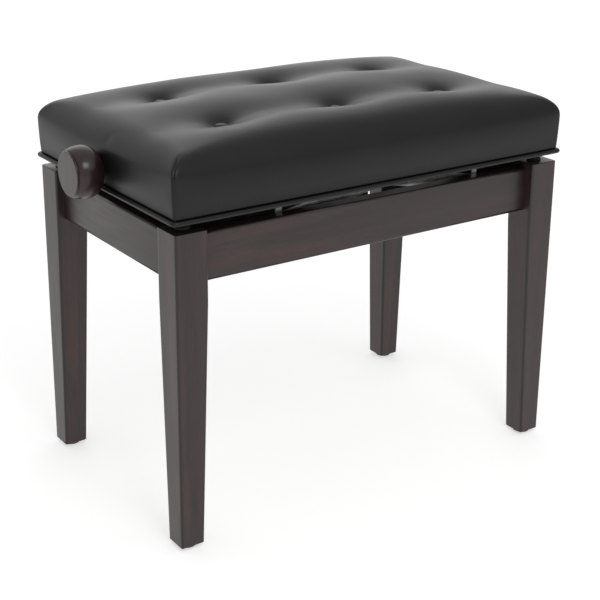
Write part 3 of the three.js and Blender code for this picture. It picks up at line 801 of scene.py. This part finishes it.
def make_cushion():
    """The padded seat in its cover, held at the foot and at the buttons."""
    points, faces, seams, tufts, bottom = cushion_grid()
    mesh = bpy.data.meshes.new("cushion_sheet")
    mesh.from_pydata([tuple(p) for p in points], [], faces)
    work = bmesh.new()
    work.from_mesh(mesh)
    bmesh.ops.recalc_face_normals(work, faces=work.faces)
    work.to_mesh(mesh)
    work.free()
    sheet = bpy.data.objects.new("cushion_sheet", mesh)
    SCENE.collection.objects.link(sheet)
    held = points[:, 2] < bottom + HELD_FOOT
    for cx, cy, _ in tufts:
        held |= np.hypot(points[:, 0] - cx, points[:, 1] - cy) < BUTTON_SEAT
    inflate(sheet, np.nonzero(held)[0])
    seam_lines = sink_seams(sheet, seams)
    fine = sheet.modifiers.new("fine", "SUBSURF")
    fine.levels = 1
    fine.render_levels = 1
    evaluated = sheet.evaluated_get(bpy.context.evaluated_depsgraph_get())
    final = bpy.data.meshes.new_from_object(evaluated)
    final.name = "seat_cushion"
    for polygon in final.polygons:
        polygon.use_smooth = True
    bpy.data.objects.remove(sheet)
    cushion = place_piece("seat_cushion", final, "seat", "black_leather", LEATHER,
                          ["seat_cover", "seat_foam"], crisp=False)
    make_seam_cords(seam_lines)


def sink_seams(sheet, seams):
    """Draws the cover in along each corner seam, from the piping to the shoulder; returns their lines."""
    normals = [v.normal.copy() for v in sheet.data.vertices]
    lines = []
    for seam in seams:
        line = []
        for row, index in enumerate(seam):
            if row < SEAM_FIRST_ROW:
                continue
            vertex = sheet.data.vertices[index]
            share = min(1.0, (row - SEAM_FIRST_ROW + 1) / 3, (len(seam) - 1 - row) / 4)
            vertex.co -= normals[index] * SEAM_DEPTH * share
            line.append(tuple(vertex.co))
        lines.append(line)
    return lines


def make_seam_cords(lines):
    """The thin raised edge of the cover's folded panels, down in each corner's groove."""
    for corner, line in zip(SEAM_CORNERS, lines):
        rings = []
        for k, point in enumerate(line):
            forward = Vector(line[min(k + 1, len(line) - 1)]) - Vector(line[max(k - 1, 0)])
            forward.normalize()
            first = (Vector((1, 0, 0)) - forward * forward.x).normalized()
            second = forward.cross(first)
            ring = []
            for i in range(SEAM_CORD_SIDES):
                angle = 2 * math.pi * i / SEAM_CORD_SIDES
                away = first * math.cos(angle) + second * math.sin(angle)
                ring.append(Vector(point) + away * SEAM_CORD)
            rings.append(ring)
        points, faces = loft(rings)
        make_piece("cushion_seam_" + corner, points, faces, "seat", "black_leather", LINING, crisp=False)


def make_buttons():
    """Low domes covered in the same vinyl, seated in the dimples."""
    for node in BUTTONS:
        middle, size = box_middle(node)
        r, h = size.x / 2, size.z
        base = middle.z - h / 2
        top = h + BUTTON_DOME
        outline = [
            (1 * MM, -1.2 * MM), (r * 0.9, -1.2 * MM), (r, 0.1 * MM), (r, top * 0.35),
            (r * 0.94, top * 0.66), (r * 0.74, top * 0.88), (r * 0.4, top * 0.98), (0.5 * MM, top),
        ]
        profile = smooth_profile(outline, 2)
        points, faces = lathe(profile, 36, (middle.x, middle.y, base))
        make_piece(node + "_vinyl", points, faces, "seat", "black_leather", None, [node], crisp=False)


TURN_WIDTH = 13 * MM  # how far the folded edge reaches under the frame
TURN_THICK = 0.7 * MM
TURN_GAP = 0.25 * MM
TURN_UP = 4 * MM  # how far it climbs the frame's outer faces
TURN_STEP = 9 * MM
STAPLE_STEP = 24 * MM
STAPLE_LONG = 9 * MM
STAPLE_WIRE = 0.5 * MM  # half the wire's width
STAPLE_LEAN = 0.25  # radians that a staple may lie askew


def make_turned_edge():
    """The cover's edge, drawn round the foot of the seat frame, folded under it and stapled."""
    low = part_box("seat_frame_left")[0]
    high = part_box("seat_frame_right")[1]
    low_y, high_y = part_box("seat_frame_front")[0].y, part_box("seat_frame_rear")[1].y
    corners = np.array([(low.x, low_y), (high.x, low_y), (high.x, high_y), (low.x, high_y)])
    centre = corners.mean(axis=0)
    half = corners[2] - centre
    top, climb = low.z - TURN_GAP, low.z + TURN_UP
    outside = TURN_GAP + TURN_THICK
    rings = [[] for _ in range(6)]
    for k, point in enumerate(densify(corners, TURN_STEP)):
        away = (point - centre) / half
        edge = np.where(np.abs(away) > 1 - 1e-6, np.sign(away), 0.0)
        width = TURN_WIDTH * (1 + 0.06 * math.sin(1.7 * k) + 0.05 * math.sin(0.61 * k + 1))
        inner = centre + np.clip(point - centre, width - half, half - width)
        near, far = point + edge * TURN_GAP, point + edge * outside
        profile = [(near, climb), (far, climb), (far, top - TURN_THICK), (inner, top - TURN_THICK),
                   (inner, top), (near, top)]
        for ring, (place, z) in zip(rings, profile):
            ring.append((*place, z))
    make_piece("cover_turned_edge", *closed_loft(rings), "seat", "black_leather")
    make_staples(centre, half - TURN_WIDTH * 0.55, top - TURN_THICK)


def make_staples(centre, half, top):
    """Wire staples in a row along each side, each a little askew."""
    points, faces = [], []
    for axis in (0, 1):
        reach = half[axis] - TURN_WIDTH
        steps = int(2 * reach / STAPLE_STEP)
        for side in (-1, 1):
            for k in range(steps + 1):
                middle = np.array([centre[0], centre[1], top - STAPLE_WIRE])
                middle[axis] += reach * (2 * k / steps - 1)
                middle[1 - axis] += side * half[1 - axis]
                turn = STAPLE_LEAN * math.sin(5.1 * k + axis + side)
                along = np.array([math.cos(turn), math.sin(turn)])
                if axis:
                    along = along[::-1]
                over = np.array([-along[1], along[0]])
                start = len(points)
                for end in (-1, 1):
                    for a, b in ((-1, -1), (1, -1), (1, 1), (-1, 1)):
                        flat = along * end * STAPLE_LONG / 2 + over * a * STAPLE_WIRE
                        points.append(middle + np.array([flat[0], flat[1], b * STAPLE_WIRE * 0.8]))
                box = loft([points[start:start + 4], points[start + 4:start + 8]])[1]
                faces += [tuple(v + start for v in face) for face in box]
    make_piece("cover_staples", np.array(points), faces, "seat", "zinc_steel")


def make_piping():
    """A cord in vinyl, sewn round the foot of the cover."""
    low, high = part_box("seat_piping")
    centre, half = (low + high) / 2, (high - low) / 2
    reach = np.array([half.x, half.y]) - PIPING_RADIUS
    section, _ = rounded_section(reach[0], reach[1], PIPING_CORNER, 6 * MM, 6)
    line = densify(section, 12 * MM)
    rings = []
    count = len(line)
    for k in range(count):
        forward = line[(k + 1) % count] - line[k - 1]
        outward = np.array([forward[1], -forward[0]]) / np.linalg.norm(forward)
        ring = []
        for i in range(PIPING_SIDES):
            angle = 2 * math.pi * i / PIPING_SIDES
            away = PIPING_RADIUS * math.cos(angle)
            ring.append((centre.x + line[k][0] + outward[0] * away,
                         centre.y + line[k][1] + outward[1] * away,
                         centre.z + PIPING_RADIUS * math.sin(angle)))
        rings.append(ring)
    make_piece("seat_piping_cord", *closed_loft(rings), "seat", "black_leather", None, ["seat_piping"],
               crisp=False)


# ---- mechanism and inner frame -------------------------------------------------------------------
METAL_EASE = 0.35 * MM
# Wider easing for some material slots, and for one node.
EASED = {
    "block_wood": 0.8 * MM,
    "plywood": 2 * MM,
    "seat_board": 6 * MM,
}


def make_hidden_structure():
    """Finishes every node that no piece stands for yet."""
    bare = [node for node, piece in frame["nodes"].items() if not piece.hide_render]
    for node in bare:
        refine(node, EASED.get(node, EASED.get(SLOT_OF[node], METAL_EASE)))


# ---- studio -----------------------------------------------------------------------------------------
CAMERA_PLACE = Vector((-0.88275, -1.2973, 0.8087))
CAMERA_YAW = math.radians(34.738)
CAMERA_PITCH = math.radians(18.823)
CAMERA_ROLL = math.radians(0.536)
CAMERA_LENS = 80.15
CAMERA_SHIFT = -0.10
BRIGHT_SIDE = (0.57, 0.81, 0.12)  # towards the surround's bright patch
BRIGHT_EDGE = 0.6  # cosine at which the bright patch has faded out
WORLD_DIM = 0.78
WORLD_BRIGHT = 1.55
WORLD_SIDES = (0.45, 0.95)  # how far to either side the surround starts and stops dimming
WORLD_SIDE_LEVEL = 0.5
SOFTBOX_PLACE = Vector((-0.25, -1.3, 1.55))
SOFTBOX_AIM = Vector((0, 0, 0.3))
SOFTBOX_SIZE = 0.65
SOFTBOX_POWER = 7
FLOOR_REACH = 14.0


def make_camera():
    data = bpy.data.cameras.new("camera")
    data.lens = CAMERA_LENS
    data.sensor_width = 36
    data.shift_y = CAMERA_SHIFT
    data.clip_start = 0.05
    camera = bpy.data.objects.new("camera", data)
    SCENE.collection.objects.link(camera)
    forward = Vector((
        math.sin(CAMERA_YAW) * math.cos(CAMERA_PITCH),
        math.cos(CAMERA_YAW) * math.cos(CAMERA_PITCH),
        -math.sin(CAMERA_PITCH),
    ))
    right = Vector((math.cos(CAMERA_YAW), -math.sin(CAMERA_YAW), 0))
    up = right.cross(forward)
    tilted_right = right * math.cos(CAMERA_ROLL) + up * math.sin(CAMERA_ROLL)
    tilted_up = up * math.cos(CAMERA_ROLL) - right * math.sin(CAMERA_ROLL)
    turn = Matrix((tilted_right, tilted_up, -forward)).transposed().to_4x4()
    camera.matrix_world = Matrix.Translation(CAMERA_PLACE) @ turn
    SCENE.camera = camera


def make_world():
    """White all round, brighter in a patch behind the bench and dimmer at its two ends."""
    world = bpy.data.worlds.new("studio")
    SCENE.world = world
    world.use_nodes = True
    tree = world.node_tree
    tree.nodes.clear()
    coordinates = add_node(tree, "ShaderNodeTexCoord").outputs["Generated"]
    ends = {0: coordinates, 1: BRIGHT_SIDE}
    towards = add_node(tree, "ShaderNodeVectorMath", ends, operation="DOT_PRODUCT")
    level = remap(tree, towards.outputs["Value"], BRIGHT_EDGE, 1, WORLD_DIM, WORLD_BRIGHT)
    across = add_node(tree, "ShaderNodeSeparateXYZ", {"Vector": coordinates}).outputs["X"]
    aside = add_node(tree, "ShaderNodeMath", {0: across}, operation="ABSOLUTE").outputs[0]
    share = remap(tree, aside, *WORLD_SIDES, 1, WORLD_SIDE_LEVEL)
    level = add_node(tree, "ShaderNodeMath", {0: level, 1: share}, operation="MULTIPLY").outputs[0]
    lit = add_node(tree, "ShaderNodeBackground", {"Color": (1, 1, 1, 1), "Strength": level})
    seen = add_node(tree, "ShaderNodeBackground", {"Color": (1, 1, 1, 1), "Strength": 1.0})
    rays = add_node(tree, "ShaderNodeLightPath").outputs["Is Camera Ray"]
    both = add_node(tree, "ShaderNodeMixShader", {0: rays, 1: lit.outputs[0], 2: seen.outputs[0]})
    output = add_node(tree, "ShaderNodeOutputWorld")
    tree.links.new(both.outputs[0], output.inputs["Surface"])


def make_softbox():
    data = bpy.data.lights.new("front_softbox", "AREA")
    data.shape = "RECTANGLE"
    data.size = data.size_y = SOFTBOX_SIZE
    data.energy = SOFTBOX_POWER
    light = bpy.data.objects.new("front_softbox", data)
    SCENE.collection.objects.link(light)
    light.location = SOFTBOX_PLACE
    light.rotation_euler = (SOFTBOX_AIM - SOFTBOX_PLACE).to_track_quat("-Z", "Y").to_euler()


def make_floor():
    mesh = bpy.data.meshes.new("floor")
    corners = [(sx * FLOOR_REACH, sy * FLOOR_REACH, 0) for sx, sy in CORNERS.values()]
    mesh.from_pydata(corners, [], [(0, 1, 2, 3)])
    mesh.materials.append(floor_material())
    floor = bpy.data.objects.new("floor", mesh)
    SCENE.collection.objects.link(floor)


make_camera()
make_world()
make_floor()
make_softbox()
make_legs()
for side in SIDES:
    make_apron("apron_" + side, 0)
for end in ENDS:
    make_apron("apron_" + end, 1)
make_glides_and_bumpers()
make_knob()
make_rod()
make_cushion()
make_buttons()
make_piping()
make_turned_edge()
make_hidden_structure()
SCENE.view_settings.view_transform = "Standard"
